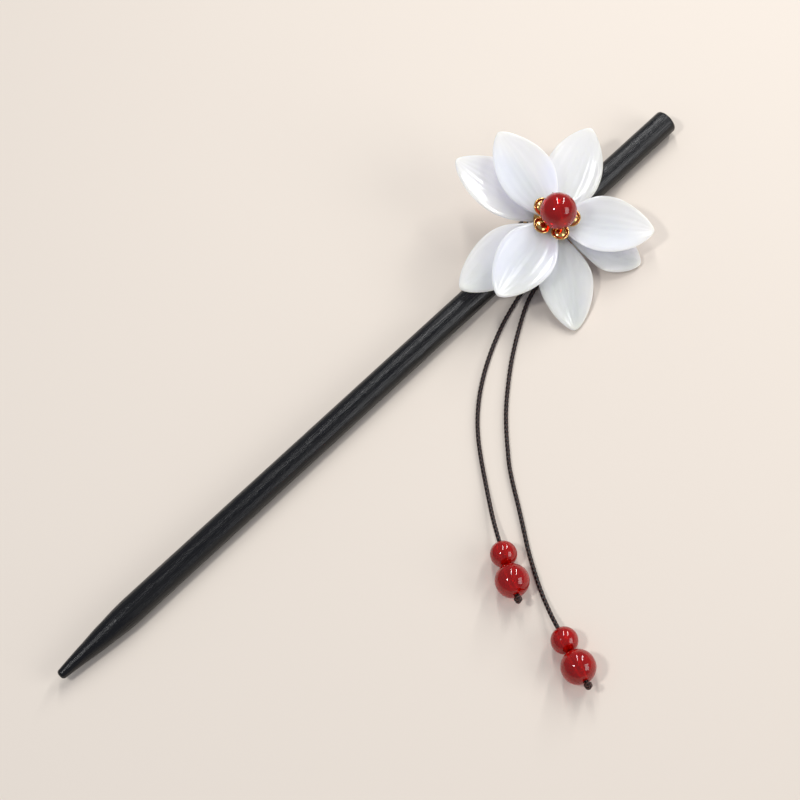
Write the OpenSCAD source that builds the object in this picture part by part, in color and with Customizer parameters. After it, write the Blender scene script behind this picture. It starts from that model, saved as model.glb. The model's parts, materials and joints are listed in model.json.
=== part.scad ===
// Hair pin: a round wooden stick with a flower of eight cupped petals,
// a capped round bead at the flower's middle and two beaded cords.
// The pin lies on the plane z = 0: the stick along X, and the flower rolled about the
// stick from +Z towards -Y until its lowest petals stop just above the plane.

/* [Stick] */
// Length of the stick from point to top end
stick_len = 188.6; // [150:0.2:220]
// Diameter of the stick
stick_d = 6; // [5:0.5:8]
// Length of the tapered point
taper_len = 20; // [12:1:30]
// Diameter of the blunt point
point_d = 2.4; // [1.6:0.2:3]
// Place where the shaft starts to narrow towards its top end, from the stick's middle
narrow_x = 20; // [10:1:22]
// Diameter of the top end
top_d = 5.8; // [5:0.1:6]
// Rounding of the top end's edge
end_round = 0.6; // [0.2:0.1:1]

/* [Flower] */
// Place of the flower's axis along the stick, from the stick's middle
flower_x = 54.7; // [50:0.1:60]
// Roll of the flower about the stick
flower_roll = 19.9; // [19:0.1:24]
// Full width of a petal
petal_w = 13.4; // [11:0.2:13.6]
// Thickness of a petal
petal_t = 1.2; // [0.8:0.1:1.4]
// Rise of a petal's edges over its middle line
petal_cup = 1.8; // [0.6:0.1:2]
// Lift of a petal's tip
petal_curl = 1.2; // [0.4:0.1:1.6]
// Slope of the front petals
front_slope = 0.09; // [0.08:0.01:0.16]

/* [Beads] */
// Diameter of the bead at the flower's middle
centre_bead_d = 8.3; // [7:0.1:8.4]
// Diameter of the large bead on each cord
large_bead_d = 7.4; // [7:0.1:8]
// Diameter of the small bead on each cord
small_bead_d = 5.8; // [5:0.1:6]
// Radius of the bore through each cord bead
bead_bore_r = 0.6; // [0.58:0.01:0.7]

/* [Cords and wire] */
// Diameter of the braided cord
cord_d = 1; // [0.8:0.1:1]
// Diameter of an end knot
knot_d = 1.9; // [1.6:0.1:2.2]
// Diameter of the binding wire
wire_d = 0.32; // [0.25:0.01:0.34]

/* [Hidden] */

stick_r = stick_d / 2;
top_r = top_d / 2;
stick_end = stick_len / 2;
small_r = small_bead_d / 2;
large_r = large_bead_d / 2;
cord_r = cord_d / 2;
knot_r = knot_d / 2;
wire_r = wire_d / 2;
slack = 0.02;            // gap between neighbours that only touch
over = 2;                // extra length of a cutting cylinder
tip_round = 0.8;         // rounding of the point's edge
// Shift of the stick's axis that puts the middle of the whole pin's width on Y = 0
axis_y = 0.1;

// Petals: direction about the flower's axis, and length, in the order of the nodes
back_dir = [24, 104, 174, 236, 290];
back_split = [40, 35, 31, 31, 47];  // angle from a petal to the line it shares with the next
back_len = [22.5, 24.3, 25.3, 24.2, 20.2];
back_slope = [0, 0, 0, 0, -0.01];
front_dir = [80, 191, 308];
front_split = [55, 58, 66];
front_len = [21.3, 21.7, 20.6];
petal_root = 2;          // distance of a petal's root from the flower's axis
hole_at = 3.6;           // distance of a petal's stitch hole from the flower's axis
hole_r = 0.4;
petal_gap = 0.12;        // half of the gap between neighbours in one row
root_share = 0.33;       // a petal's width at its root, as a share of its full width
turn_soft = 1.6;         // softness of the turn where two neighbours part
tip_share = 0.03;        // the same at its tip
widest_at = 0.44;        // the widest place, as a share of the length
tip_power = 0.64;        // fullness of the outline towards the tip, less is fuller
edge_thin = 0.35;        // how much thinner a petal is at its edge and tip
steps_u = 22;            // stations along a petal
steps_v = 12;            // stations across a petal

// Heights up the flower's axis, counted from the stick's axis
layer_gap = 0.05;        // gap between the layers of the flower
plate_t = 0.6;
plate_r = 6.5;
upper_plate_r = 4.6;
lower_plate_h = stick_r;
back_h = lower_plate_h + plate_t + layer_gap;
upper_plate_h = back_h + petal_t + wire_d + layer_gap;
front_h = upper_plate_h + plate_t + layer_gap;
back_tie_h = back_h + petal_t + wire_r + slack;
front_tie_h = front_h + petal_t + front_slope * hole_at / 2 + wire_r + slack;
cap_h = front_tie_h + wire_r + slack;
cap_t = 0.4;
cap_r = 2.6;
cap_hole_r = 1;
ring_gap = 0.03;         // gap between the bead and its wire, and the wire and the cap
ring_r = centre_bead_d / 2 + wire_r + ring_gap;
centre_h = cap_h + cap_t + sqrt(pow(ring_r + wire_r, 2) - pow(cap_hole_r, 2)) + ring_gap;

// Plates: stitch holes, middle hole and pierced holes near the rim
inner_hole_at = 1.4;     // distance of a stitch's inner leg from the flower's axis
stitch_fit = 0.04;
plate_hole_r = 0.7;
rim_hole_r = 0.5;
lower_rim_at = plate_r - 1.2;
lower_rim_count = 12;
upper_rim_at = 2.6;
upper_rim_count = 3;

// Cap: five wire loops round a small disc
loops = 5;
loop_dir = 26;
loop_at = 3.7;
loop_r = 1.85;
loop_wire_r = 0.25;
loop_tilt = 14;
loop_lift = 0.75;
web_t = 0.18;            // thickness of the web that closes a loop from below

// Stick: groove for the wire turns and the cross hole for the cords
groove_half = 2.4;
wrap_turns = 4;
wrap_start = 1;
cord_hole_x = -4;        // place of the cords' hole, from the flower's axis
cord_apart = 1.1;        // distance between the two cords in the hole
cord_fit = 0.06;
leg_apart = 0.5;         // distance between the two legs of the bead's wire
leg_r = wire_r - 0.02;   // the legs are drawn a little thinner where they are twisted off
leg_fit = 0.09;
bead_fit = 0.14;         // the same in the middle bead's bore
wire_dir = 62;           // direction of the bore through the middle bead
wrap_gap = 0.005;        // the wrapped turns' own gap from the groove's floor
stopper_r = 1.5;
stopper_sink = 0.1;      // how far the stopper knot is pulled into the hole's mouth
anchor_in = 1;           // the cords' run out of the hole, into the stopper knot
anchor_out = 0.3;        // the same on the other side, where the cords hang from
start_gap = 0.15;        // gap that lets a cord swing on the anchor's face

// Middle lines of the cords: hand-laid points, from the stick's hole to the small bead.
// X is laid for a flower at route_flower_x and moves along with the flower, Y is counted
// from the stick's axis, Z from the plane that the pin lies on.
route_flower_x = 54;
left_route = [[49.4, -4, 1.5], [48.6, -5, 1], [46.6, -5.5, 0.6], [42.5, -5.7, 0.5],
              [38.3, -6.2, 0.5], [34, -7.4, 0.5], [29.5, -8.9, 0.5], [24, -11.3, 0.5],
              [18.5, -14.3, 0.5], [13.5, -17.7, 0.5], [9.2, -21.4, 0.5], [5.6, -25.3, 0.5],
              [2.4, -29.5, 0.5], [-0.6, -33.8, 0.6], [-3.4, -37.9, 0.9], [-5.9, -41.7, 1.5]];
right_route = [[50.6, -4.4, 1.4], [50.1, -5.9, 0.9], [48.4, -7, 0.6], [45, -7.3, 0.5],
               [41, -7.8, 0.5], [37, -9.2, 0.5], [33, -11.4, 0.5], [28.6, -14.1, 0.5],
               [24, -17.2, 0.5], [19.5, -20.7, 0.5], [15.3, -24.3, 0.5], [11.8, -27.8, 0.5],
               [8.6, -31.4, 0.5], [5.6, -35, 0.5], [2.9, -38.9, 0.5], [0.3, -43, 0.5],
               [-2.6, -47.4, 0.5], [-5.6, -51.9, 0.5], [-8.3, -56.5, 0.6], [-10.7, -61, 0.9],
               [-12.7, -65.4, 1.6]];
// Middle of each small bead, and the level direction from it to the large bead
left_small_at = [-10.4, -49.6];
right_small_at = [-15.3, -72.3];
left_bead_dir = 241.5;
right_bead_dir = 250;
bead_gap = 0.1;          // gap between the two beads of a cord
bead_step = small_r + large_r + bead_gap;
bead_pitch = asin((large_r - small_r) / bead_step);
lead_in = 4.5;           // where the cord turns straight, before the small bead's middle
lead_out = 0.1;          // the cord's run past the large bead, into its knot
rings_per_span = 2;      // tube rings from one route point to the next
bead_spans = 4;          // straight spans at the cord's end, which take one ring each
tube_sides = 8;

// ---- placing ----------------------------------------------------------------

module on_stick() {
    translate([0, axis_y, stick_r]) rotate([flower_roll, 0, 0]) children();
}

module on_flower() {
    on_stick() translate([flower_x, 0, 0]) children();
}

// ---- stick ------------------------------------------------------------------

function arc(centre, r, from, to, n) =
    [for (i = [0:n]) let (a = from + (to - from) * i / n) centre + r * [cos(a), sin(a)]];

// Radius of the narrowing upper shaft at a place along it
function narrow_r(x) =
    stick_r - (stick_r - top_r) * (x - narrow_x) / (stick_end - end_round - narrow_x);

// Half outline of the stick: first value along the stick, second the radius
function stick_outline() =
    let (x0 = stick_end - stick_len, x1 = stick_end, g = stick_r - wire_d)
    concat([[x0, 0]],
           arc([x0 + tip_round, point_d / 2 - tip_round], tip_round, 180, 105, 6),
           [[x0 + taper_len * 0.55, stick_r * 0.8],
            [x0 + taper_len * 0.85, stick_r * 0.97],
            [x0 + taper_len, stick_r], [narrow_x, stick_r],
            [flower_x - groove_half, narrow_r(flower_x - groove_half)],
            [flower_x - groove_half, g], [flower_x + groove_half, g],
            [flower_x + groove_half, narrow_r(flower_x + groove_half)]],
           arc([x1 - end_round, top_r - end_round], end_round, 90, 0, 6),
           [[x1, 0]]);

module stick() {
    color([0.09, 0.09, 0.1])
    on_stick() difference() {
        rotate([0, 90, 0]) rotate([0, 0, 90])
            rotate_extrude($fn = 96) polygon([for (q = stick_outline()) [q[1], q[0]]]);
        // hole for the wire's two legs
        translate([flower_x, 0, 0])
            cylinder(r = leg_apart / 2 + wire_r + leg_fit, h = stick_d + over, center = true, $fn = 32);
        // long hole for the two cords
        translate([flower_x + cord_hole_x, 0, 0]) rotate([90, 0, 0]) {
            for (side = [-1, 1]) translate([side * cord_apart / 2, 0, 0])
                cylinder(r = cord_r + cord_fit, h = stick_d + over, center = true, $fn = 32);
            cube([cord_apart, 2 * (cord_r + cord_fit), stick_d + over], center = true);
        }
    }
}

// ---- plates -----------------------------------------------------------------

module pierced_disc(r, dirs, rim_at, rim_count) {
    difference() {
        cylinder(r = r, h = plate_t, $fn = 72);
        translate([0, 0, -over / 2]) {
            cylinder(r = plate_hole_r, h = plate_t + over, $fn = 32);
            for (a = dirs) rotate([0, 0, a]) for (d = [inner_hole_at, hole_at])
                translate([d, 0, 0]) cylinder(r = wire_r + stitch_fit, h = plate_t + over, $fn = 20);
            for (i = [0:rim_count - 1]) rotate([0, 0, (i + 0.5) * 360 / rim_count])
                translate([rim_at, 0, 0]) cylinder(r = rim_hole_r, h = plate_t + over, $fn = 24);
        }
    }
}

module lower_plate() {
    color([0.83, 0.64, 0.36]) on_flower() translate([0, 0, lower_plate_h])
        pierced_disc(plate_r, back_dir, lower_rim_at, lower_rim_count);
}

module upper_plate() {
    color([0.83, 0.64, 0.36]) on_flower() translate([0, 0, upper_plate_h])
        pierced_disc(upper_plate_r, front_dir, upper_rim_at, upper_rim_count);
}

// ---- petals -----------------------------------------------------------------

// Half width of a petal at share s of its length: wide root, full middle, pointed tip
function petal_half(s) = petal_w / 2 *
    (s < widest_at ? root_share + (1 - root_share) * sin(90 * s / widest_at)
                   : max(tip_share, pow(cos(90 * (s - widest_at) / (1 - widest_at)), tip_power)));

// The same, kept inside the wedge that the petal shares with its neighbour, with a soft turn
// where the outline leaves the wedge's side
function kept_half(s, len, wedge) =
    let (half = petal_half(s),
         room = (petal_root + s * len) * tan(wedge) - petal_gap / cos(wedge),
         soft = turn_soft * min(1, 2.5 * s))
    (half + room - sqrt(pow(half - room, 2) + pow(soft, 2))) / 2;

// Height of a petal's middle surface over its root
function petal_rise(s, v, len, slope) =
    slope * s * len + petal_cup * pow(2 * v / petal_w, 2) + petal_curl * pow(s, 4);

// One layer of the petal's points, side is -1 under the middle surface and 1 over it
function petal_layer(len, slope, wedge_r, wedge_l, side) =
    [for (i = [0:steps_u], j = [0:steps_v])
        let (s = i / steps_u,
             right = kept_half(s, len, wedge_r),
             left = kept_half(s, len, wedge_l),
             v = -right + (right + left) * j / steps_v,
             edge = pow(abs(2 * j / steps_v - 1), 4),
             half_t = petal_t / 2 * (1 - edge_thin * max(edge, pow(s, 6))))
        [petal_root + s * len, v, petal_t / 2 + petal_rise(s, v, len, slope) + side * half_t]];

module petal(len, slope, wedge_r, wedge_l) {
    row = steps_v + 1;
    under = row * (steps_u + 1);
    quads = [for (i = [0:steps_u - 1], j = [0:steps_v - 1])
        let (a = i * row + j) [a, a + 1, a + row + 1, a + row]];
    border = concat([for (i = [0:steps_u - 1]) i * row],
                    [for (j = [0:steps_v - 1]) steps_u * row + j],
                    [for (i = [steps_u:-1:1]) i * row + steps_v],
                    [for (j = [steps_v:-1:1]) j]);
    rim = [for (k = [0:len(border) - 1])
        let (a = border[k], b = border[(k + 1) % len(border)]) [a, b, b + under, a + under]];
    difference() {
        polyhedron(
            points = concat(petal_layer(len, slope, wedge_r, wedge_l, 1),
                            petal_layer(len, slope, wedge_r, wedge_l, -1)),
            faces = concat([for (q = quads) for (t = [[q[0], q[1], q[2]], [q[0], q[2], q[3]]]) t],
                           [for (q = quads) for (t = [[q[2], q[1], q[0]], [q[3], q[2], q[0]]])
                               [for (k = t) k + under]],
                           [for (q = rim) for (t = [[q[2], q[1], q[0]], [q[3], q[2], q[0]]]) t]),
            convexity = 6);
        translate([hole_at, 0, -over / 2])
            cylinder(r = hole_r, h = petal_t + petal_cup + over, $fn = 16);
    }
}

// Angle from a petal back to the line it shares with the one before it
function split_before(dirs, split, k) =
    let (before = (k + len(dirs) - 1) % len(dirs))
    (dirs[k] - dirs[before] + 360) % 360 - split[before];

module back_petal(k) {
    color([0.9, 0.92, 0.98]) on_flower() translate([0, 0, back_h]) rotate([0, 0, back_dir[k]])
        petal(back_len[k], back_slope[k], split_before(back_dir, back_split, k), back_split[k]);
}

module front_petal(k) {
    color([0.94, 0.95, 0.99]) on_flower() translate([0, 0, front_h]) rotate([0, 0, front_dir[k]])
        petal(front_len[k], front_slope, split_before(front_dir, front_split, k), front_split[k]);
}

// ---- stitches that hold the petals to their plates ---------------------------

module stitch(bottom, top) {
    for (d = [inner_hole_at, hole_at]) translate([d, 0, bottom])
        cylinder(r = wire_r, h = top - bottom, $fn = 20);
    translate([inner_hole_at - wire_r, 0, top]) rotate([0, 90, 0])
        cylinder(r = wire_r, h = hole_at - inner_hole_at + wire_d, $fn = 20);
}

module back_ties() {
    color([0.83, 0.64, 0.36]) on_flower() for (a = back_dir) rotate([0, 0, a])
        stitch(lower_plate_h + layer_gap, back_tie_h);
}

module front_ties() {
    color([0.83, 0.64, 0.36]) on_flower() for (a = front_dir) rotate([0, 0, a])
        stitch(upper_plate_h, front_tie_h);
}

// ---- cap, middle bead and its wire --------------------------------------------

module cap_loop() {
    rotate_extrude($fn = 48) translate([loop_r, 0]) circle(r = loop_wire_r, $fn = 20);
    translate([0, 0, -web_t]) cylinder(r = loop_r, h = web_t, $fn = 48);
}

module bead_cap() {
    color([0.83, 0.64, 0.36]) on_flower() translate([0, 0, cap_h]) {
        difference() {
            cylinder(r = cap_r, h = cap_t, $fn = 48);
            translate([0, 0, -over / 2]) cylinder(r = cap_hole_r, h = cap_t + over, $fn = 32);
        }
        for (i = [0:loops - 1]) rotate([0, 0, loop_dir + i * 360 / loops])
            translate([loop_at, 0, loop_lift]) rotate([0, -loop_tilt, 0]) cap_loop();
    }
}

module centre_bead() {
    color([0.62, 0.05, 0.03]) on_flower() translate([0, 0, centre_h]) rotate([0, 0, wire_dir])
        rotate([0, 90, 0]) difference() {
            sphere(r = centre_bead_d / 2, $fn = 72);
            cylinder(r = wire_r + bead_fit, h = centre_bead_d + over, center = true, $fn = 32);
        }
}

module centre_wire() {
    foot = -stick_r + wire_d + slack;
    color([0.83, 0.64, 0.36]) on_flower() rotate([0, 0, wire_dir]) {
        translate([0, 0, centre_h]) {
            rotate([0, 90, 0]) cylinder(r = wire_r, h = 2 * ring_r, center = true, $fn = 20);
            rotate([90, 0, 0]) rotate([0, 0, 180])
                rotate_extrude(angle = 180, $fn = 72)
                    translate([ring_r, 0]) circle(r = wire_r, $fn = 20);
        }
        for (side = [-1, 1]) translate([side * leg_apart / 2, 0, foot])
            cylinder(r = leg_r, h = centre_h - ring_r - foot, $fn = 20);
    }
}

module wire_wrap() {
    color([0.83, 0.64, 0.36]) on_flower() {
        for (side = [-1, 1], i = [0:wrap_turns - 1])
            translate([side * (wrap_start + i * (wire_d + slack)), 0, 0]) rotate([0, 90, 0])
                rotate_extrude($fn = 48)
                    translate([stick_r - wire_r, 0]) circle(r = wire_r - wrap_gap, $fn = 14);
        translate([0, 0, -stick_r + wire_r]) rotate([0, 90, 0])
            cylinder(r = wire_r - wrap_gap, h = 2 * (wrap_start - wire_r - slack), center = true,
                     $fn = 20);
    }
}

// ---- cords --------------------------------------------------------------------

module cord_anchor() {
    color([0.16, 0.09, 0.08]) on_flower() translate([cord_hole_x, 0, 0]) {
        for (side = [-1, 1]) translate([side * cord_apart / 2, stick_r + anchor_in, 0])
            rotate([90, 0, 0]) cylinder(r = cord_r, h = stick_d + anchor_in + anchor_out, $fn = 24);
        translate([0, stick_r + stopper_r - stopper_sink, 0]) sphere(r = stopper_r, $fn = 40);
    }
}

// A point beside the stick, from its distance out of the hole
function hole_point(side, out) =
    [route_flower_x + cord_hole_x + side * cord_apart / 2,
     -(stick_r + out) * cos(flower_roll),
     stick_r - (stick_r + out) * sin(flower_roll)];

// Unit vector along the beads' bore, from the small bead to the large one
function bore_dir(a) = [cos(a) * cos(bead_pitch), sin(a) * cos(bead_pitch), sin(bead_pitch)];
function small_centre(at) = [at[0], at[1], small_r];
function large_centre(at, a) = small_centre(at) + bead_step * bore_dir(a);
function knot_centre(at, a) = large_centre(at, a) + (large_r + knot_r) * bore_dir(a);

// Whole middle line of a cord, out of the hole, along its route and through its beads
function cord_line(side, route, at, a) =
    let (s = small_centre(at), b = bore_dir(a))
    concat([hole_point(side, anchor_out + start_gap)], route,
           [s - lead_in * b, s, s + 0.5 * bead_step * b, large_centre(at, a),
            large_centre(at, a) + (large_r + lead_out) * b]);

// Smooth curve through the points p1 and p2, with p0 and p3 beside them
function blend_point(p0, p1, p2, p3, t) =
    0.5 * (2 * p1 + (p2 - p0) * t + (2 * p0 - 5 * p1 + 4 * p2 - p3) * t * t
           + (3 * p1 - p0 - 3 * p2 + p3) * t * t * t);
function smooth_line(p) =
    let (n = len(p))
    concat([for (i = [0:n - 2]) let (parts = i < n - 1 - bead_spans ? rings_per_span : 1)
            for (k = [0:parts - 1])
               blend_point(p[max(i - 1, 0)], p[i], p[i + 1], p[min(i + 2, n - 1)], k / parts)],
           [p[n - 1]]);

function unit(v) = v / norm(v);
function along(p, i) = unit(p[min(i + 1, len(p) - 1)] - p[max(i - 1, 0)]);

// Closed tube along the line p: one ring of points at each point of the line
module tube(p, r) {
    n = len(p);
    m = tube_sides;
    rings = [for (i = [0:n - 1])
        let (t = along(p, i), side = unit(cross(t, [0, 0, 1])), up = cross(side, t))
        for (k = [0:m - 1]) let (a = 360 * (k + 0.5) / m) p[i] + r * (cos(a) * side + sin(a) * up)];
    walls = [for (i = [0:n - 2], k = [0:m - 1])
        let (a = i * m + k, b = i * m + (k + 1) % m) [a, b, b + m, a + m]];
    polyhedron(
        points = rings,
        faces = concat([for (q = walls) for (t = [[q[0], q[1], q[2]], [q[0], q[2], q[3]]]) t],
                       [for (k = [1:m - 2]) [0, k + 1, k]],
                       [for (k = [1:m - 2]) [(n - 1) * m, (n - 1) * m + k, (n - 1) * m + k + 1]]),
        convexity = 10);
}

module cord(side, route, at, a) {
    color([0.16, 0.09, 0.08]) translate([flower_x - route_flower_x, axis_y, 0])
        tube(smooth_line(cord_line(side, route, at, a)), cord_r);
}

module cord_bead(centre, a, r) {
    color([0.62, 0.05, 0.03]) translate([flower_x - route_flower_x, axis_y, 0]) translate(centre)
        rotate([0, 0, a]) rotate([0, 90 - bead_pitch, 0]) difference() {
            sphere(r = r, $fn = 72);
            cylinder(r = bead_bore_r, h = 2 * r + over, center = true, $fn = 32);
        }
}

module knot(centre) {
    color([0.12, 0.07, 0.07]) translate([flower_x - route_flower_x, axis_y, 0]) translate(centre)
        sphere(r = knot_r, $fn = 32);
}

module left_cord() { cord(-1, left_route, left_small_at, left_bead_dir); }
module right_cord() { cord(1, right_route, right_small_at, right_bead_dir); }
module left_small_bead() { cord_bead(small_centre(left_small_at), left_bead_dir, small_r); }
module right_small_bead() { cord_bead(small_centre(right_small_at), right_bead_dir, small_r); }
module left_large_bead() {
    cord_bead(large_centre(left_small_at, left_bead_dir), left_bead_dir, large_r);
}
module right_large_bead() {
    cord_bead(large_centre(right_small_at, right_bead_dir), right_bead_dir, large_r);
}
module left_knot() { knot(knot_centre(left_small_at, left_bead_dir)); }
module right_knot() { knot(knot_centre(right_small_at, right_bead_dir)); }

// ---- the pieces -----------------------------------------------------------------

stick();
lower_plate();
upper_plate();
back_petal(0);  // back_petal_1
back_petal(1);  // back_petal_2
back_petal(2);  // back_petal_3
back_petal(3);  // back_petal_4
back_petal(4);  // back_petal_5
front_petal(0);  // front_petal_1
front_petal(1);  // front_petal_2
front_petal(2);  // front_petal_3
back_ties();
front_ties();
bead_cap();
centre_bead();
centre_wire();
wire_wrap();
cord_anchor();
left_cord();
right_cord();
left_small_bead();
left_large_bead();
right_small_bead();
right_large_bead();
left_knot();
right_knot();
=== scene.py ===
# %% [markdown]
# # A flower hair pin
# This lesson dresses a hair pin: a black wooden stick, a flower of eight cupped resin
# petals, a gold cap under a red agate bead, and two braided cords with beads.
# The frame comes first. It is the working model, in metres, and every piece below is
# made in its place, so nothing has to be fitted afterwards.

# %% Load the frame
import json
import math
import bmesh
import bpy
from mathutils import Matrix, Vector, noise


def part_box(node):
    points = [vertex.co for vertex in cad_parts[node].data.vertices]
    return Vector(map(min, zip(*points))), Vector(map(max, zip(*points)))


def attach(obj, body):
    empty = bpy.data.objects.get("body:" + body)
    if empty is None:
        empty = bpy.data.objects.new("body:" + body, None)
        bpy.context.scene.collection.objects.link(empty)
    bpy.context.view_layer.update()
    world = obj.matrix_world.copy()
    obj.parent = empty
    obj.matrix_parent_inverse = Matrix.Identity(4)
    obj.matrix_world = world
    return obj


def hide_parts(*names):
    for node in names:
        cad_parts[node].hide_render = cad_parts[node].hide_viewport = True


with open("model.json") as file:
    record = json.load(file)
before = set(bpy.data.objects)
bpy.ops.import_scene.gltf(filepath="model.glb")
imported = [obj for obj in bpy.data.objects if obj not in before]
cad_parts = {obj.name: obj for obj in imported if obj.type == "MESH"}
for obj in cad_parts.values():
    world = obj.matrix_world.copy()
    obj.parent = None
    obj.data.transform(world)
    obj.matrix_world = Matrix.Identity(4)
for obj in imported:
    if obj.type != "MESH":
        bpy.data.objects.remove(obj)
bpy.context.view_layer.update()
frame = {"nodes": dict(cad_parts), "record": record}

# %% [markdown]
# ## Sizes
# The stick's radius and the height of its axis come from the frame's shaft mount. The rest
# are the driving sizes of the flower, the beads and the cords, written in millimetres
# because that is how a bead shop sells them.

# %% Driving sizes
MM = 0.001
shaft = frame["record"]["mounts"][0]
axis_y = shaft["pos_m"][1] / MM
stick_r = shaft["dims"]["r_mm"]
stick_low, stick_high = (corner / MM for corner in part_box("stick"))
flower_x = 54.7
route_flower_x = 54
lay_x = flower_x - route_flower_x
flower_roll = math.radians(19.9)
cord_d = 1
relief_height = 0.14
wire_r = 0.16
small_bead_r = 2.9
large_bead_r = 3.7
centre_bead_r = 4.15
on_stick = Matrix.Translation((0, axis_y, stick_r)) @ Matrix.Rotation(flower_roll, 4, "X")
on_flower = on_stick @ Matrix.Translation((flower_x, 0, 0))
print("stick from", round(stick_low.x, 1), "to", round(stick_high.x, 1), "mm")

# %% [markdown]
# ## Camera and light
# The pin is seen from well above and a little to its point's side, with a long lens, so the
# stick runs as a straight diagonal. The light is a studio's: two long strips overhead,
# which draw the two bars in each bead, a soft window on the right and a small lamp on the
# left. Their directions are worked out from the camera's own axes, once, and then they stay.

# %% Camera
camera_at = Vector((-86.4, -177, 355.8)) * MM
camera_aim = Vector((1.3, -4.95, 0)) * MM
camera_lean = math.radians(18.5)
view_dir = (camera_aim - camera_at).normalized()
camera = bpy.data.objects.new("camera", bpy.data.cameras.new("camera"))
bpy.context.scene.collection.objects.link(camera)
bpy.context.scene.camera = camera
camera.location = camera_at
level = view_dir.to_track_quat("-Z", "Y").to_matrix()
turned = level @ Matrix.Rotation(-camera_lean, 3, "Z")
camera.rotation_euler = turned.to_euler()
camera.data.sensor_width = 36
camera.data.lens = 81
camera.data.clip_start = 0.01
camera.data.clip_end = 10
view_right, view_up, view_back = (turned.col[i].copy() for i in range(3))
print("camera", [round(x, 3) for x in camera.location], "lens", camera.data.lens)


# %% Colours and nodes
def paint(code):
    """A colour written as sRGB hex, turned to the linear values that shaders work in."""
    parts = [int(code[i:i + 2], 16) / 255 for i in (0, 2, 4)]
    return [c / 12.92 if c <= 0.04045 else ((c + 0.055) / 1.055) ** 2.4 for c in parts] + [1]


def set_inputs(node, inputs):
    """Gives each named input of a node a value, or a link from another node's output."""
    for name, value in inputs.items():
        if isinstance(value, bpy.types.NodeSocket):
            node.id_data.links.new(value, node.inputs[name])
        else:
            node.inputs[name].default_value = value


def add_node(tree, kind, inputs=(), **settings):
    """Adds a node, sets its properties and then its inputs."""
    node = tree.nodes.new(kind)
    for name, value in settings.items():
        setattr(node, name, value)
    set_inputs(node, dict(inputs))
    return node


def blend(tree, factor, first, second):
    """The colour that goes from the first to the second as the factor rises."""
    node = add_node(tree, "ShaderNodeMix", {"Factor": factor, "A": first, "B": second},
                    data_type="RGBA")
    return node.outputs["Result"]


def object_noise(tree, inputs):
    """A noise that is fixed to the object, so that it moves with the piece."""
    place = add_node(tree, "ShaderNodeTexCoord").outputs["Object"]
    return add_node(tree, "ShaderNodeTexNoise", {"Vector": place, **inputs}).outputs["Fac"]


def new_material(name):
    """A material with its node tree and its main shader."""
    material = bpy.data.materials.new(name)
    material.use_nodes = True
    tree = material.node_tree
    return material, tree, tree.nodes["Principled BSDF"]


# %% Floor
floor_half = 2
floor_paper, tree, shader = new_material("pale_matte_paper")
mottle = add_node(tree, "ShaderNodeTexNoise", {"Scale": 9, "Detail": 3}).outputs["Fac"]
set_inputs(shader, {"Base Color": blend(tree, mottle, paint("ded2c4"), paint("e6dccf")),
                    "Roughness": 0.85})
bm = bmesh.new()
bmesh.ops.create_grid(bm, x_segments=2, y_segments=2, size=floor_half)
floor_mesh = bpy.data.meshes.new("floor")
bm.to_mesh(floor_mesh)
bm.free()
floor_mesh.materials.append(floor_paper)
floor = bpy.data.objects.new("floor", floor_mesh)
bpy.context.scene.collection.objects.link(floor)
print("floor", floor.dimensions.x, "m wide")


# %% Lights
lit_point = Vector((20, -15, 5)) * MM


def softbox(name, right, up, back, distance, size, watts, tint="ffffff"):
    """A rectangular light, placed by its direction from the pin along the camera's axes."""
    light = bpy.data.objects.new(name, bpy.data.lights.new(name, "AREA"))
    light.data.shape = "RECTANGLE"
    light.data.size, light.data.size_y = size
    light.data.energy = watts
    light.data.color = paint(tint)[:3]
    way = (view_right * right + view_up * up + view_back * back).normalized()
    light.location = lit_point + way * distance
    across = (view_right - way * view_right.dot(way)).normalized()
    light.rotation_euler = Matrix((across, way.cross(across), way)).transposed().to_euler()
    bpy.context.scene.collection.objects.link(light)
    return light


softbox("strip_left", -0.11, 0.88, 0.46, 0.6, (0.04, 0.46), 1.3)
softbox("strip_right", 0.42, 0.84, 0.35, 0.6, (0.04, 0.46), 1.3)
softbox("window", 0.77, 0.0, 0.64, 0.7, (0.32, 0.44), 1.7)
softbox("lamp", -0.54, 0.14, 0.83, 0.7, (0.08, 0.08), 1.2)
world = bpy.data.worlds.new("studio")
bpy.context.scene.world = world
world.use_nodes = True
set_inputs(world.node_tree.nodes["Background"], {"Color": paint("e6ebfa"), "Strength": 0.38})
bpy.context.scene.view_settings.view_transform = "Standard"


# %% [markdown]
# ## Helpers for shapes
# Three ways of making a shape are used again and again: a lathe for what is round, a tube
# drawn along a line for wire and cord, and a sheet that is pushed into form. Each works in
# millimetres, and the last step turns the mesh to metres in its place.

# %% Finish a mesh as a piece
pieces = {}


def finish_piece(name, bm, material, body, place=Matrix.Identity(4), replaces=()):
    """Puts a millimetre mesh in its place in metres and lets it ride on its body."""
    bmesh.ops.transform(bm, matrix=Matrix.Scale(MM, 4) @ place, verts=bm.verts)
    mesh = bpy.data.meshes.new(name)
    for face in bm.faces:
        face.smooth = True
    bm.to_mesh(mesh)
    bm.free()
    mesh.materials.append(material)
    piece = bpy.data.objects.new(name, mesh)
    bpy.context.scene.collection.objects.link(piece)
    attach(piece, body)
    if replaces:
        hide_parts(*replaces)
    pieces[name] = piece
    print(name, len(mesh.polygons), "faces")
    return piece


# %% Lathe
weld = 1e-5


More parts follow.
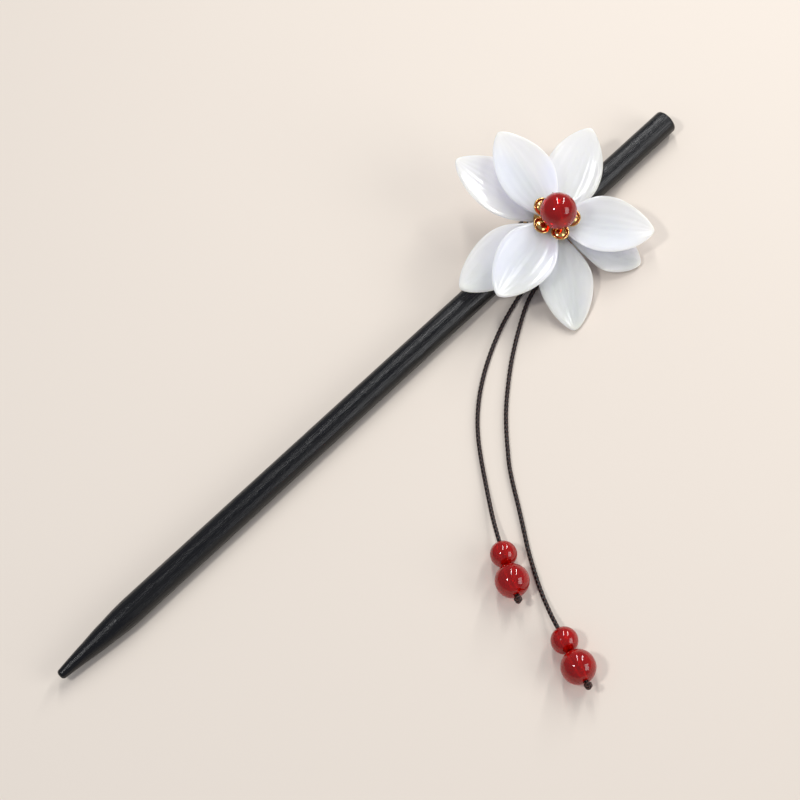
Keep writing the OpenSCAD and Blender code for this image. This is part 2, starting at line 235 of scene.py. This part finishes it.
def lathe(bm, outline, steps, closed=False):
    """Spins an outline of (radius, height) points round Z. A closed outline makes a ring."""
    verts = [bm.verts.new((r, 0, z)) for r, z in outline]
    ends = list(zip(verts, verts[1:] + verts[:1])) if closed else list(zip(verts, verts[1:]))
    edges = [bm.edges.new(pair) for pair in ends]
    bmesh.ops.spin(bm, geom=verts + edges, cent=(0, 0, 0), axis=(0, 0, 1),
                   angle=2 * math.pi, steps=steps, use_merge=True)
    bmesh.ops.remove_doubles(bm, verts=bm.verts, dist=weld)
    bmesh.ops.recalc_face_normals(bm, faces=bm.faces)


# %% Tube along a line
def smooth_line(points, parts):
    """A smooth curve through all the points, with so many parts between neighbours."""
    last = len(points) - 1
    line = []
    for i in range(last):
        p0, p1 = points[max(i - 1, 0)], points[i]
        p2, p3 = points[i + 1], points[min(i + 2, last)]
        for k in range(parts):
            t = k / parts
            line.append(0.5 * (2 * p1 + (p2 - p0) * t + (2 * p0 - 5 * p1 + 4 * p2 - p3) * t ** 2
                               + (3 * p1 - p0 - 3 * p2 + p3) * t ** 3))
    return line + [points[last]]


def even_line(points, step):
    """The same line with its points a step apart."""
    marks = [0]
    for a, b in zip(points, points[1:]):
        marks.append(marks[-1] + (b - a).length)
    count = max(2, round(marks[-1] / step))
    line = []
    k = 0
    for i in range(count + 1):
        want = marks[-1] * i / count
        while k < len(marks) - 2 and marks[k + 1] < want:
            k += 1
        share = (want - marks[k]) / max(marks[k + 1] - marks[k], 1e-9)
        line.append(points[k].lerp(points[k + 1], share))
    return line


def line_length(points):
    return sum((b - a).length for a, b in zip(points, points[1:]))


def tube(bm, line, radius, sides, relief=None):
    """Wraps a grid round a line. The relief function changes the radius from place to place."""
    crown = bm.verts.layers.float.get("crown") or bm.verts.layers.float.new("crown")
    count = len(line) - 1
    made = bmesh.ops.create_grid(bm, x_segments=count, y_segments=sides, size=0.5)["verts"]
    ways = [(line[min(i + 1, count)] - line[max(i - 1, 0)]).normalized()
            for i in range(count + 1)]
    side = ways[0].orthogonal().normalized()
    sides_along = []
    for way in ways:
        side = (side - way * side.dot(way)).normalized()
        sides_along.append(side)
    step = line_length(line) / count
    for vert in made:
        i = round((vert.co.x + 0.5) * count)
        turn = 2 * math.pi * round((vert.co.y + 0.5) * sides) / sides
        out = sides_along[i] * math.cos(turn) + ways[i].cross(sides_along[i]) * math.sin(turn)
        height = relief(i * step, turn) if relief else 0
        vert.co = line[i] + out * (radius + height)
        # The crown value, 1 on top of a hump and 0 deep in a groove, later sets the cord's
        # painted shade and highlight.
        vert[crown] = max(0, 1 + height / relief_height)
    bmesh.ops.remove_doubles(bm, verts=made, dist=radius * 1e-3)
    bmesh.ops.holes_fill(bm, edges=[e for e in bm.edges if e.is_boundary], sides=sides + 1)
    bmesh.ops.recalc_face_normals(bm, faces=bm.faces)


# %% [markdown]
# ## Cords
# Each cord is a braid of waxed polyester threads, one millimetre thick. It leaves the hole in
# the stick, comes down to the table within a few millimetres, lies there in a loose curve
# and lifts again to go through its two beads, which stand on the table. A braid's threads
# cross over and under, so its surface is made of small slanting humps. They are pushed up
# in the mesh itself, because a bump alone would leave a smooth outline.

# %% Routes of the cords
def route_points(rows):
    """Route points are laid for a flower at route_flower_x and counted from the axis."""
    return [Vector((x + lay_x, y + axis_y, z)) for x, y, z in rows]


left_route = route_points([
    (49.4, -4, 1.5), (48.6, -5, 1), (46.6, -5.5, 0.6), (42.5, -5.7, 0.5),
    (38.3, -6.2, 0.5), (34, -7.4, 0.5), (29.5, -8.9, 0.5), (24, -11.3, 0.5),
    (18.5, -14.3, 0.5), (13.5, -17.7, 0.5), (9.2, -21.4, 0.5), (5.6, -25.3, 0.5),
    (2.4, -29.5, 0.5), (-0.6, -33.8, 0.6), (-3.4, -37.9, 0.9), (-5.9, -41.7, 1.5)])
right_route = route_points([
    (50.6, -4.4, 1.4), (50.1, -5.9, 0.9), (48.4, -7, 0.6), (45, -7.3, 0.5),
    (41, -7.8, 0.5), (37, -9.2, 0.5), (33, -11.4, 0.5), (28.6, -14.1, 0.5),
    (24, -17.2, 0.5), (19.5, -20.7, 0.5), (15.3, -24.3, 0.5), (11.8, -27.8, 0.5),
    (8.6, -31.4, 0.5), (5.6, -35, 0.5), (2.9, -38.9, 0.5), (0.3, -43, 0.5),
    (-2.6, -47.4, 0.5), (-5.6, -51.9, 0.5), (-8.3, -56.5, 0.6), (-10.7, -61, 0.9),
    (-12.7, -65.4, 1.6)])
cord_hole_x = -4
cord_apart = 1.1
cord_start = 0.45
bead_gap = 0.1
lead_in = 4.5
cord_past_bead = 0.3
cord_step = 0.11
line_parts = 12
knot_r = 0.95
bead_step = small_bead_r + large_bead_r + bead_gap
bead_pitch = math.asin((large_bead_r - small_bead_r) / bead_step)


def bore_way(degrees):
    """The way that the bores of a cord's beads point, from the small bead to the knot."""
    turn = math.radians(degrees)
    return Vector((math.cos(turn) * math.cos(bead_pitch),
                   math.sin(turn) * math.cos(bead_pitch), math.sin(bead_pitch)))


def tassel(side, route, small_xy, degrees):
    """The places along one cord: its exit, both bead middles, its knot and its whole line."""
    way = bore_way(degrees)
    exit_at = on_flower @ Vector((cord_hole_x + side * cord_apart / 2, -stick_r - cord_start, 0))
    small = Vector((small_xy[0] + lay_x, small_xy[1] + axis_y, small_bead_r))
    large = small + way * bead_step
    knot = large + way * (large_bead_r + knot_r)
    ahead = small - way * lead_in
    curve = smooth_line([exit_at] + route + [ahead, small], line_parts)
    curve = curve[:-line_parts] + [large + way * (large_bead_r + cord_past_bead)]
    line = even_line(curve, cord_step)
    return {"exit": exit_at, "small": small, "large": large, "knot": knot, "way": way,
            "line": line}


left = tassel(-1, left_route, (-10.4, -49.6), 241.5)
right = tassel(1, right_route, (-15.3, -72.3), 250)
print("left cord", round(line_length(left["line"]), 1), "mm")
print("right cord", round(line_length(right["line"]), 1), "mm")


# %% Waxed cord material
def waxed_cord():
    """Waxed braid: thread almost black brown, with painted shade in the grooves and a painted
    highlight on each crown.
    """
    material, tree, shader = new_material("waxed_polyester_braid")
    # Painted shade and highlight: the colour goes from near black in the grooves to a lighter
    # brown on the crowns of the braid.
    crown = add_node(tree, "ShaderNodeAttribute", attribute_name="crown")
    shade_to_highlight = add_node(tree, "ShaderNodeMapRange",
                      {"Value": crown.outputs["Fac"], "From Min": 0.55, "From Max": 1})
    colour = blend(tree, shade_to_highlight.outputs["Result"], paint("030202"), paint("6e463c"))
    thread = object_noise(tree, {"Scale": 4500, "Detail": 2})
    bump = add_node(tree, "ShaderNodeBump",
                    {"Height": thread, "Strength": 0.4, "Distance": 0.05 * MM})
    set_inputs(shader, {"Base Color": colour, "Roughness": 0.36, "Specular IOR Level": 0.3,
                        "Normal": bump.outputs["Normal"]})
    return material


cord_material = waxed_cord()
stitch = 1.1
braid_r = cord_d / 2 + 0.03
cord_sides = 20
print("finish", cord_material.name)


def braid(along, turn):
    """How far the surface of a four-by-four braid stands out at a place on the cord."""
    a = 4 * turn / (2 * math.pi) + along / stitch
    b = 4 * turn / (2 * math.pi) - along / stitch
    x, y = a % 1 - 0.5, b % 1 - 0.5
    if (math.floor(a) + math.floor(b)) % 2:
        x, y = y, x
    hump = math.cos(math.pi * x) * (0.7 + 0.3 * math.cos(2 * math.pi * y))
    return relief_height * (hump - 1)


# %% Cord pieces
def cord_piece(name, node, marks, body):
    """One braided cord, wrapped round its line."""
    bm = bmesh.new()
    tube(bm, marks["line"], braid_r, cord_sides, braid)
    return finish_piece(name, bm, cord_material, body, replaces=[node])


left_cord = cord_piece("left_braided_cord", "left_cord", left, "left_tassel")
right_cord = cord_piece("right_braided_cord", "right_cord", right, "right_tassel")


# %% [markdown]
# ## Knots
# An overhand knot pulled tight is a trefoil. The same tube is wrapped round a trefoil line
# that is small enough for its strands to press into each other, as they do in the knot.

# %% Knots
knot_steps = 160
knot_flat = 1.3
knot_relief = 0.6
end_ring, end_wave, end_strand = 0.42, 0.17, 0.36
stopper_ring, stopper_wave, stopper_strand = 0.66, 0.3, 0.5
stopper_out = 1.45
anchor_in = 1
anchor_out = 0.22


def trefoil(middle, ring, wave):
    """The closed line of a tight overhand knot."""
    line = []
    for i in range(knot_steps + 1):
        a = 4 * math.pi * i / knot_steps
        out = ring + wave * math.cos(1.5 * a)
        line.append(middle + Vector((out * math.cos(a), out * math.sin(a),
                                     wave * knot_flat * math.sin(1.5 * a))))
    return line


def end_knot(name, node, marks, body):
    """A tight knot under the large bead, where its cord ends."""
    bm = bmesh.new()
    line = trefoil(marks["knot"], end_ring, end_wave)
    tube(bm, line, end_strand, 12, lambda along, turn: knot_relief * braid(along, turn))
    return finish_piece(name, bm, cord_material, body, replaces=[node])


left_end = end_knot("left_end_knot", "left_knot", left, "left_tassel")
right_end = end_knot("right_end_knot", "right_knot", right, "right_tassel")
bm = bmesh.new()
for side in (-1, 1):
    start = Vector((cord_hole_x + side * cord_apart / 2, stick_r + anchor_in, 0))
    finish = Vector((cord_hole_x + side * cord_apart / 2, -stick_r - anchor_out, 0))
    tube(bm, even_line([start, finish], cord_step), braid_r, cord_sides, braid)
stopper = Vector((cord_hole_x, stick_r + stopper_out, 0))
tube(bm, trefoil(stopper, stopper_ring, stopper_wave), stopper_strand, 14, braid)
finish_piece("cord_stopper", bm, cord_material, "pin", on_flower, ["cord_anchor"])


# %% [markdown]
# ## Agate beads
# Red agate is a cloudy stone that lets light in and glows where the light comes out again.
# It is turned, drilled and tumbled to a mirror finish. A lathe outline with a bore and a
# softened rim makes each bead in one spin.

# %% Red agate
def red_agate():
    """Polished carnelian agate: clear at the skin, cloudy inside, glossy as glass."""
    material, tree, shader = new_material("polished_red_agate")
    cloud = object_noise(tree, {"Scale": 260, "Detail": 3, "Distortion": 0.8})
    set_inputs(shader, {"Base Color": blend(tree, cloud, paint("9c0301"), paint("e81404")),
                        "Roughness": 0.03, "IOR": 1.54, "Specular IOR Level": 0.38,
                        "Transmission Weight": 0.6, "Subsurface Weight": 0.4,
                        "Subsurface Radius": (1, 0.06, 0.03), "Subsurface Scale": 2 * MM})
    return material


agate = red_agate()
print("finish", agate.name)


# %% Beads
bead_sides = 72
bead_arc_steps = 44
bead_rim = 0.14
# A lip point: its share of the rim's width, and its depth under the bead's mouth.
bead_lip = ((0.45, 0), (0.12, 0.05), (0, 0.16))
bead_bore = 0.6
wire_bore = 0.3


def turn_to(way):
    """The turn that lays a shape's Z along a direction."""
    return way.to_track_quat("Z", "Y").to_matrix().to_4x4()


def bead(name, node, middle, way, radius, bore, body):
    """A drilled round bead, spun from a closed outline whose lip rolls into the bore."""
    bm = bmesh.new()
    opening = math.asin((bore + bead_rim) / radius)
    outline = []
    for i in range(bead_arc_steps + 1):
        a = opening + (math.pi - 2 * opening) * i / bead_arc_steps
        outline.append((radius * math.sin(a), radius * math.cos(a)))
    mouth = radius * math.cos(opening)
    lip = [(bore + share * bead_rim, mouth - depth) for share, depth in bead_lip]
    outline += [(r, -z) for r, z in lip] + [(bore, 0)] + list(reversed(lip))
    lathe(bm, outline, bead_sides, closed=True)
    place = Matrix.Translation(middle) @ turn_to(way)
    return finish_piece(name, bm, agate, body, place, [node])


left_beads = [
    bead("left_small_agate", "left_small_bead", left["small"], left["way"], small_bead_r,
         bead_bore, "left_small"),
    bead("left_large_agate", "left_large_bead", left["large"], left["way"], large_bead_r,
         bead_bore, "left_large")]
right_beads = [
    bead("right_small_agate", "right_small_bead", right["small"], right["way"],
         small_bead_r, bead_bore, "right_small"),
    bead("right_large_agate", "right_large_bead", right["large"], right["way"],
         large_bead_r, bead_bore, "right_large")]
centre_low, centre_high = (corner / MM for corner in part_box("centre_bead"))
centre_at = (centre_low + centre_high) / 2
bore_turn = math.radians(62)
centre_way = on_flower.to_3x3() @ Vector((math.cos(bore_turn), math.sin(bore_turn), 0))
bead("centre_agate", "centre_bead", centre_at, centre_way, centre_bead_r, wire_bore,
     "pin")


# %% [markdown]
# ## The cords and their beads
# The frame checks that each cord really is as long as it says, so its length is measured
# along the same line that the tube was wrapped round. Here each cord is printed with the
# beads that it carries.

for piece, marks, beads, end in ((left_cord, left, left_beads, left_end),
                                 (right_cord, right, right_beads, right_end)):
    print(piece.name, "carries", [bead_piece.name for bead_piece in beads])


# %% [markdown]
# ## Stick
# The stick is a hardwood dowel, cut to a point by hand and stained black. Its pores stay
# open under the stain, so short fine lines run along it and catch the light.

# %% Black stained wood
def stained_wood():
    """Black stained hardwood: open pores along the grain, a thin oiled shine between."""
    material, tree, shader = new_material("black_stained_hardwood")
    place = add_node(tree, "ShaderNodeTexCoord")
    along = add_node(tree, "ShaderNodeMapping",
                     {"Vector": place.outputs["Object"], "Scale": (0.055, 1, 1)})
    grain = add_node(tree, "ShaderNodeTexNoise",
                     {"Vector": along.outputs["Vector"], "Scale": 2400, "Detail": 5,
                      "Roughness": 0.65})
    streak = add_node(tree, "ShaderNodeMapRange",
                      {"Value": grain.outputs["Fac"], "From Min": 0.5, "From Max": 0.75})
    colour = blend(tree, streak.outputs["Result"], paint("030304"), paint("0e0f14"))
    rough = add_node(tree, "ShaderNodeMapRange",
                     {"Value": grain.outputs["Fac"], "From Min": 0.35, "From Max": 0.65,
                      "To Min": 0.36, "To Max": 0.17})
    bump = add_node(tree, "ShaderNodeBump",
                    {"Height": grain.outputs["Fac"], "Strength": 0.8, "Distance": 0.12 * MM})
    set_inputs(shader, {"Base Color": colour, "Roughness": rough.outputs["Result"],
                        "Specular IOR Level": 0.38, "Normal": bump.outputs["Normal"]})
    return material


wood = stained_wood()
print("finish", wood.name)

# %% Stick shape
taper_len = 20
point_r = 1.2
tip_round = 0.8
narrow_x = 20
top_r = 2.9
end_round = 0.6
groove_half = 2.4
groove_r = stick_r - 2 * wire_r
stick_sides = 168
ring_step = 1
taper_step = 0.8
round_steps = 8
end_steps = 6
tip_turn = 75
tip_face_r = 0.2
end_rings = (1.6, 0.9, 0)
# A taper point: its share of the shaft's radius, and how far along the taper it lies.
taper_shape = ((0.8, 0.55), (0.97, 0.85), (1, 1))
stick_end = stick_high.x
stick_start = stick_low.x
taper_end = stick_start + taper_len


def shaft_r(x):
    """Radius of the shaft, which narrows a little towards its top end."""
    if x <= narrow_x:
        return stick_r
    return stick_r - (stick_r - top_r) * (x - narrow_x) / (stick_end - end_round - narrow_x)


def span(start, end, step):
    """Evenly spaced numbers from start to end, about a step apart."""
    count = max(1, math.ceil((end - start) / step))
    return [start + (end - start) * i / count for i in range(count + 1)]


outline = [(0, stick_start), (tip_face_r, stick_start)]
for i in range(round_steps + 1):
    a = math.radians(tip_turn * i / round_steps)
    outline.append((point_r - tip_round * (1 - math.sin(a)),
                    stick_start + tip_round * (1 - math.cos(a))))
corners = [outline[-1]]
corners += [(stick_r * wide, stick_start + taper_len * far) for wide, far in taper_shape]
for low, high in zip(corners, corners[1:]):
    for x in span(low[1], high[1], taper_step)[1:]:
        share = (x - low[1]) / (high[1] - low[1])
        outline.append((low[0] + (high[0] - low[0]) * share, x))
groove_low, groove_high = flower_x - groove_half, flower_x + groove_half
outline += [(shaft_r(x), x) for x in span(taper_end, groove_low, ring_step)[1:]]
outline += [(groove_r, x) for x in span(groove_low, groove_high, ring_step)]
outline += [(shaft_r(x), x) for x in span(groove_high, stick_end - end_round, ring_step)]
for i in range(1, end_steps + 1):
    a = math.radians(90 * i / end_steps)
    outline.append((top_r - end_round + end_round * math.cos(a),
                    stick_end - end_round + end_round * math.sin(a)))
outline += [(r, stick_end) for r in end_rings]
bm = bmesh.new()
lathe(bm, outline, stick_sides)
print("stick outline", len(outline), "points")

# %% Pores and knife cuts
pore_scale = Vector((3.2, 3.2, 0.22))
pore_depth = 0.035
sanded_off = 0.012
cut_scale = Vector((0.5, 0.5, 0.16))
cut_seed = Vector((7, 3, 1))
cut_depth = 0.1
cut_fade = 6


def worn_depth(spot):
    """How deep the wood lies below its turned shape at a place, by pores and by the knife."""
    depth = sanded_off + pore_depth * max(0, noise.noise(spot * pore_scale))
    if spot.z < taper_end:
        cut = noise.noise(spot * cut_scale + cut_seed) + 0.5
        depth += cut_depth * cut * min(1, (taper_end - spot.z) / cut_fade)
    return depth


for vert in bm.verts:
    radius = math.hypot(vert.co.x, vert.co.y)
    if radius >= tip_face_r:
        keep = 1 - worn_depth(vert.co) / radius
        vert.co.x *= keep
        vert.co.y *= keep
along_x = on_stick @ Matrix.Rotation(math.pi / 2, 4, "Y")
stick = finish_piece("wooden_stick", bm, wood, "pin", along_x, ["stick"])


# %% Drill the stick
def rod(radius, sides, length):
    """A round rod to drill with."""
    made = bmesh.new()
    bmesh.ops.create_cone(made, cap_ends=True, segments=sides, radius1=radius, radius2=radius,
                          depth=length)
    return made


def drill(piece, cutter, place):
    """Cuts a closed shape out of a piece and keeps the drilled mesh."""
    bmesh.ops.transform(cutter, matrix=Matrix.Scale(MM, 4) @ place, verts=cutter.verts)
    bmesh.ops.recalc_face_normals(cutter, faces=cutter.faces)
    mesh = bpy.data.meshes.new("cutter")
    cutter.to_mesh(mesh)
    cutter.free()
    tool = bpy.data.objects.new("cutter", mesh)
    bpy.context.scene.collection.objects.link(tool)
    hole = piece.modifiers.new("hole", "BOOLEAN")
    hole.operation = "DIFFERENCE"
    hole.solver = "EXACT"
    hole.object = tool
    seen = piece.evaluated_get(bpy.context.evaluated_depsgraph_get())
    drilled = bpy.data.meshes.new_from_object(seen)
    piece.modifiers.clear()
    piece.data = drilled
    bpy.data.objects.remove(tool)


cord_play = 0.06
wire_hole_r = 0.5
hole_sides = 32
through_stick = 3 * stick_r
cord_slot = rod(cord_d / 2 + cord_play, hole_sides, through_stick)
for vert in cord_slot.verts:
    vert.co.x += math.copysign(cord_apart / 2, vert.co.x)
drill(stick, cord_slot, on_flower @ Matrix.Translation((cord_hole_x, 0, 0))
      @ Matrix.Rotation(math.pi / 2, 4, "X"))
drill(stick, rod(wire_hole_r, hole_sides, through_stick), on_flower)
print("stick has", len(stick.data.polygons), "faces after drilling")


# %% [markdown]
# ## Petals
# Each petal is moulded in cloudy white resin, about as thick as a coin. It is cupped like a
# spoon, with soft ribs that follow the outline from root to tip and a thin line inside the
# edge. A flat grid is wrapped round the petal's section, so the edge is round and closed.

# %% White resin
def petal_resin():
    """Moulded milky resin: light soaks in, and a painted highlight whitens the edges and the
    tip.
    """
    material, tree, shader = new_material("milky_moulded_resin")
    # Painted highlight: the rim attribute turns the colour white along the edges and at the tip.
    rim = add_node(tree, "ShaderNodeAttribute", attribute_name="rim")
    cloud = object_noise(tree, {"Scale": 140, "Detail": 2})
    milk = blend(tree, cloud, paint("e2e5f8"), paint("eef0fd"))
    set_inputs(shader, {"Base Color": blend(tree, rim.outputs["Fac"], milk, paint("ffffff")),
                        "Roughness": 0.17, "IOR": 1.5, "Subsurface Weight": 1,
                        "Subsurface Radius": (1, 0.95, 1.15), "Subsurface Scale": 5 * MM})
    return material


resin = petal_resin()
print("finish", resin.name)

# %% Petal sizes
petal_w = 13.4
petal_t = 1.2
petal_cup = 1.8
petal_curl = 1.2
petal_root = 2
petal_gap = 0.12
hole_at = 3.6
hole_r = 0.4
layer_gap = 0.05
plate_t = 0.6
back_h = stick_r + plate_t + layer_gap
front_h = back_h + petal_t + 2 * wire_r + plate_t + 2 * layer_gap
widest_at = 0.44
root_share = 0.33
tip_power = 0.64
turn_soft = 1.6
soft_grow = 2.5
front_slope = 0.09
# A petal: its direction, its length, its slope, and the turn from it to the gap after it.
back_row = [(24, 22.5, 0, 40), (104, 24.3, 0, 35), (174, 25.3, 0, 31), (236, 24.2, 0, 31),
            (290, 20.2, -0.01, 47)]
front_row = [(80, 21.3, front_slope, 55), (191, 21.7, front_slope, 58),
             (308, 20.6, front_slope, 66)]
print("petal rows start", round(back_h, 2), "and", round(front_h, 2), "mm above the axis")


def petal_half(s):
    """Half width of a petal at a share of its length."""
    if s < widest_at:
        swell = math.sin(math.pi / 2 * s / widest_at)
        return petal_w / 2 * (root_share + (1 - root_share) * swell)
    fall = max(0, math.cos(math.pi / 2 * (s - widest_at) / (1 - widest_at)))
    return petal_w / 2 * fall ** tip_power


def kept_half(s, length, wedge):
    """The same, kept inside the wedge that the petal shares with its neighbour."""
    half = petal_half(s)
    room = (petal_root + s * length) * math.tan(wedge) - petal_gap / math.cos(wedge)
    soft = turn_soft * min(1, soft_grow * s)
    return (half + room - math.hypot(half - room, soft)) / 2


# %% Petal ribs
rib_h, rib_waves = 0.024, 3.5
rib_drift, drift_turns = 0.8, 5
line_h, line_waves, line_lean = 0.006, 15, 3
inset_depth, inset_at, inset_half = 0.05, 0.9, 0.035
rib_grow, rib_end, inset_grow = 8, 3.5, 6


def ribs(across, s):
    """Height of the ribs, the fine lines between them and the line inside the edge."""
    fade = min(1, rib_grow * s, rib_end * (1 - s))
    drift = rib_drift * math.sin(drift_turns * across)
    broad = rib_h * math.cos(2 * math.pi * rib_waves * across + drift)
    fine = line_h * math.cos(2 * math.pi * line_waves * across + line_lean * s)
    inset = -inset_depth * math.exp(-((abs(across) - inset_at) / inset_half) ** 2)
    return fade * (broad + fine) + min(1, inset_grow * s) * inset


# %% Petal shape
stations, around = 64, 192
petal_weld = 0.002
edge_power = 6
tip_blunt, root_blunt = 0.03, 0.02
tip_thin = 0.25
curl_power = 4
rim_power, rim_tip_power = 14, 24
rim_least = 0.01
petal_hole_sides = 24
through_petal = 8


def petal(name, node, row, k, height):
    """One cupped petal, from a grid wrapped round its section."""
    degrees, length, slope, split = row[k]
    after = math.radians(split)
    before = math.radians((degrees - row[k - 1][0]) % 360 - row[k - 1][3])
    bm = bmesh.new()
    bmesh.ops.create_grid(bm, x_segments=stations, y_segments=around, size=0.5)
    for vert in bm.verts:
        s = 0.5 - 0.5 * math.cos(math.pi * (vert.co.x + 0.5))
        turn = 2 * math.pi * (vert.co.y + 0.5)
        across = math.cos(turn)
        upper = math.sin(turn) >= 0
        right_half, left_half = kept_half(s, length, before), kept_half(s, length, after)
        v = (left_half - right_half) / 2 + (left_half + right_half) / 2 * across
        roundness = math.sqrt(max(0, 1 - across ** edge_power))
        end = min(1, (1 - s) / tip_blunt, s / root_blunt)
        roundness *= math.sqrt(max(0, 1 - (1 - end) ** 2))
        curl = s ** curl_power
        thick = petal_t / 2 * (1 - tip_thin * curl) * roundness
        rise = slope * s * length + petal_cup * (2 * v / petal_w) ** 2 + petal_curl * curl
        lift = thick + ribs(across, s) * roundness if upper else -thick
        vert.co = Vector((petal_root + s * length, v, petal_t / 2 + rise + lift))
    # The rim layer marks the edges and the tip, where the resin gets its painted highlight.
    layer = bm.verts.layers.float.new("rim")
    for vert in bm.verts:
        s = (vert.co.x - petal_root) / length
        share = min(1, abs(vert.co.y) / max(rim_least, petal_half(s)))
        vert[layer] = max(share ** rim_power, s ** rim_tip_power)
    bmesh.ops.remove_doubles(bm, verts=bm.verts, dist=petal_weld)
    bmesh.ops.holes_fill(bm, edges=[e for e in bm.edges if e.is_boundary], sides=0)
    bmesh.ops.recalc_face_normals(bm, faces=bm.faces)
    place = (on_flower @ Matrix.Translation((0, 0, height))
             @ Matrix.Rotation(math.radians(degrees), 4, "Z"))
    piece = finish_piece(name, bm, resin, "pin", place, [node])
    at_hole = place @ Matrix.Translation((hole_at, 0, 0))
    drill(piece, rod(hole_r, petal_hole_sides, through_petal), at_hole)


for k in range(len(back_row)):
    petal(f"rear_petal_{k + 1}", f"back_petal_{k + 1}", back_row, k, back_h)
for k in range(len(front_row)):
    petal(f"top_petal_{k + 1}", f"front_petal_{k + 1}", front_row, k, front_h)


# %% [markdown]
# ## Gold cap and wire
# The cap under the middle bead is stamped brass with five wire loops, plated with gold. The
# plates and stitches behind the petals are the same gold, and come from the frame as they
# are, with a finish of their own.

# %% Gold
def gold(name, colour, roughness):
    """Gold plating on brass: bright, with the faint orange peel of a thin plating."""
    material, tree, shader = new_material(name)
    wear = object_noise(tree, {"Scale": 1500, "Detail": 2})
    haze = add_node(tree, "ShaderNodeMapRange",
                    {"Value": wear, "To Min": roughness * 0.7, "To Max": roughness * 1.4})
    bump = add_node(tree, "ShaderNodeBump",
                    {"Height": wear, "Strength": 0.15, "Distance": 0.03 * MM})
    set_inputs(shader, {"Base Color": blend(tree, wear, paint(colour), paint("f0cf90")),
                        "Roughness": haze.outputs["Result"], "Metallic": 1,
                        "Normal": bump.outputs["Normal"]})
    return material


cap_gold = gold("polished_gold_plating", "c08a3e", 0.16)
wire_gold = gold("drawn_gold_wire", "d3a14f", 0.2)
for name in ("lower_plate", "upper_plate"):
    frame["nodes"][name].material_slots[0].material = cap_gold
for name in ("back_ties", "front_ties", "centre_wire", "wire_wrap"):
    frame["nodes"][name].material_slots[0].material = wire_gold
print("finishes", cap_gold.name, wire_gold.name)

# %% Cap
tie_gap = 0.02
front_tie_h = front_h + petal_t + front_slope * hole_at / 2 + wire_r + tie_gap
cap_h = front_tie_h + wire_r + tie_gap
cap_r = 2.6
cap_t = 0.4
cap_edge = 0.1
cap_hole_r = 1
cap_hole_edge = 0.06
loop_count = 5
loop_turn = 26
loop_at = 3.7
loop_r = 1.85
loop_wire_r = 0.25
loop_lift = 0.75
loop_tilt = 14
dome_r = 1.3
dome_top = 0.3
dome_fall = 0.5
dome_rings = (0, 0.25, 0.5, 0.75, 1, 1.15, dome_r)
# The flat web round the dome and under it, as (radius, height) points.
web_outline = [(1.4, -0.2), (loop_r, -0.14), (loop_r, -0.2), (dome_r, -0.24), (0, -0.24)]
cap_sides = 64
loop_sides = 56
dome_sides = 48
loop_wire_sides = 16


def circle_outline(at_r, at_z, radius, steps):
    """Points of a small circle, as an outline for the lathe."""
    return [(at_r + radius * math.cos(2 * math.pi * i / steps),
             at_z + radius * math.sin(2 * math.pi * i / steps)) for i in range(steps)]


bm = bmesh.new()
low_half = [(cap_hole_r, cap_hole_edge), (cap_hole_r + cap_hole_edge, 0),
            (cap_r - cap_edge, 0), (cap_r, cap_edge)]
high_half = [(r, cap_t - z) for r, z in reversed(low_half)]
lathe(bm, low_half + high_half, cap_sides, closed=True)
crest = [(r, dome_top - dome_fall * (r / dome_r) ** 2) for r in dome_rings]
for i in range(loop_count):
    ring = bmesh.new()
    lathe(ring, circle_outline(loop_r, 0, loop_wire_r, loop_wire_sides), loop_sides, closed=True)
    dome = bmesh.new()
    lathe(dome, crest + web_outline, dome_sides)
    place = (Matrix.Rotation(math.radians(loop_turn + i * 360 / loop_count), 4, "Z")
             @ Matrix.Translation((loop_at, 0, loop_lift))
             @ Matrix.Rotation(math.radians(-loop_tilt), 4, "Y"))
    for made in (ring, dome):
        bmesh.ops.transform(made, matrix=place, verts=made.verts)
        mesh = bpy.data.meshes.new("cap_part")
        made.to_mesh(mesh)
        made.free()
        bm.from_mesh(mesh)
cap_place = on_flower @ Matrix.Translation((0, 0, cap_h))
cap = finish_piece("gold_bead_cap", bm, cap_gold, "pin", cap_place, ["bead_cap"])

# %% [markdown]
# ## Sharp edges
# Each new piece keeps its edges sharp where its faces meet at a steep angle.

# %% Sharp edges
sharp_turn = math.radians(50)
for piece in pieces.values():
    piece.data.set_sharp_from_angle(angle=sharp_turn)
